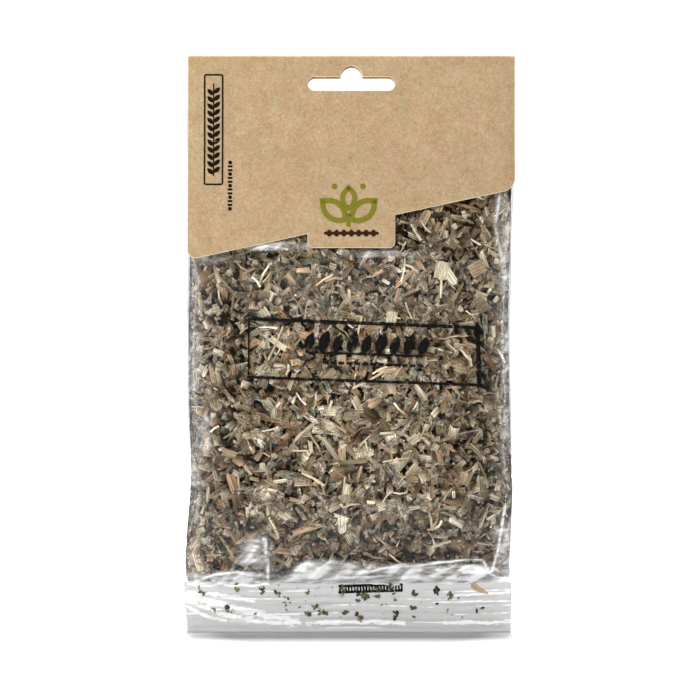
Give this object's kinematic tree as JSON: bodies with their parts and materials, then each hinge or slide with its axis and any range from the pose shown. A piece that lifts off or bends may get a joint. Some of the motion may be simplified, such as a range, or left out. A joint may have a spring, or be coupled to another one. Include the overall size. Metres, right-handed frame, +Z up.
{
  "type": "hang packet of dried cut borage",
  "caption": "Clear film pouch of dried, cut borage leaf and stem, closed by a folded kraft header card with a slot for a display hook.",
  "frame": {"origin": "top of the hook slot in the rear panel of the card, midway between the two panels, where a display hook bears", "axes": "+Z up as the packet hangs, the front of the packet faces -Y, +X to the right as seen from the front"},
  "size_m": [0.12, 0.0173, 0.211],
  "materials": {
    "kraft_card": "uncoated brown kraft board with darker fibres",
    "clear_film": "clear crinkled polypropylene film, glossy",
    "dried_herb": "dry grey-green and tan cut leaf and stem, matt",
    "glue": "pale dried adhesive"
  },
  "bodies": {
    "root": {"header_card": "kraft_card", "film_pouch": "clear_film", "dried_borage": "dried_herb", "glue_strip_front": "glue", "glue_strip_back": "glue"}
  },
  "joints": []
}
